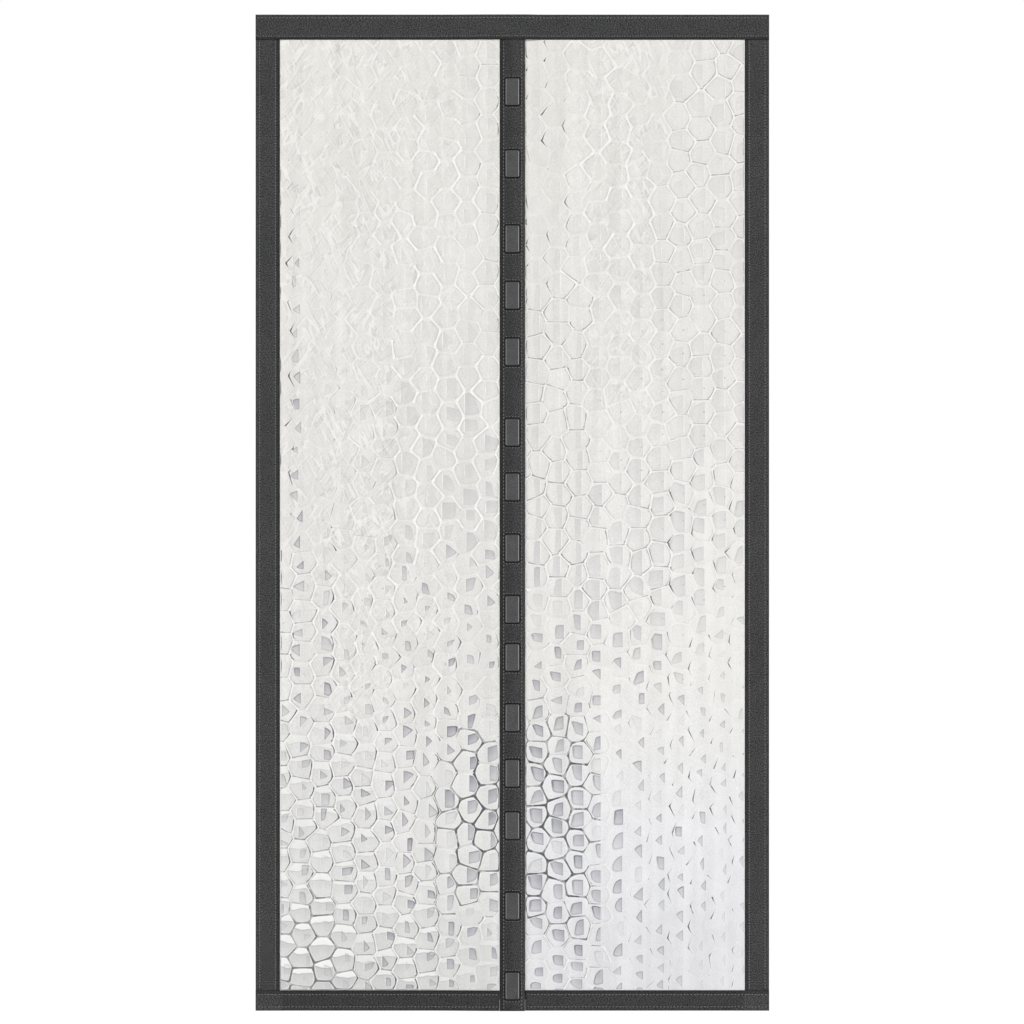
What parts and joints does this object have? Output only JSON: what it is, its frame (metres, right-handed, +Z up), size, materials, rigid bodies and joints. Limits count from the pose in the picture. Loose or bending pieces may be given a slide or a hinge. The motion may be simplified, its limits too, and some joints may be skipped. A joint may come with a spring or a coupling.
{
  "type": "magnetic thermal door curtain",
  "caption": "Door curtain of embossed film panels bound in woven tape, closed down the middle by magnets sewn into overlapping tapes and hung from a fastening strip.",
  "frame": {"origin": "middle of the back face of the header's fastening strip, which lies on the face of the door frame", "axes": "+Z up along the height, +X to the right seen from the front, +Y back towards the door frame, so the curtain faces -Y"},
  "size_m": [1.1, 0.0094, 2.134],
  "materials": {
    "film": "embossed white-clear film",
    "border_tape": "matt woven tape, dark grey",
    "magnet": "bonded ferrite strip, dark grey",
    "weight": "plain rolled strip",
    "loop_strip": "napped loop tape, black"
  },
  "bodies": {
    "root": {"left_film": "film", "right_film": "film", "header_tape": "border_tape", "left_side_tape": "border_tape", "right_side_tape": "border_tape", "left_bottom_hem": "border_tape", "right_bottom_hem": "border_tape", "front_centre_tape": "border_tape", "rear_centre_tape": "border_tape", "front_magnet_01": "magnet", "front_magnet_02": "magnet", "front_magnet_03": "magnet", "front_magnet_04": "magnet", "front_magnet_05": "magnet", "front_magnet_06": "magnet", "front_magnet_07": "magnet", "front_magnet_08": "magnet", "front_magnet_09": "magnet", "front_magnet_10": "magnet", "front_magnet_11": "magnet", "front_magnet_12": "magnet", "front_magnet_13": "magnet", "front_magnet_14": "magnet", "front_magnet_15": "magnet", "rear_magnet_01": "magnet", "rear_magnet_02": "magnet", "rear_magnet_03": "magnet", "rear_magnet_04": "magnet", "rear_magnet_05": "magnet", "rear_magnet_06": "magnet", "rear_magnet_07": "magnet", "rear_magnet_08": "magnet", "rear_magnet_09": "magnet", "rear_magnet_10": "magnet", "rear_magnet_11": "magnet", "rear_magnet_12": "magnet", "rear_magnet_13": "magnet", "rear_magnet_14": "magnet", "rear_magnet_15": "magnet", "left_hem_weight": "weight", "right_hem_weight": "weight", "header_loop_strip": "loop_strip", "left_loop_strip": "loop_strip", "right_loop_strip": "loop_strip"}
  },
  "joints": []
}
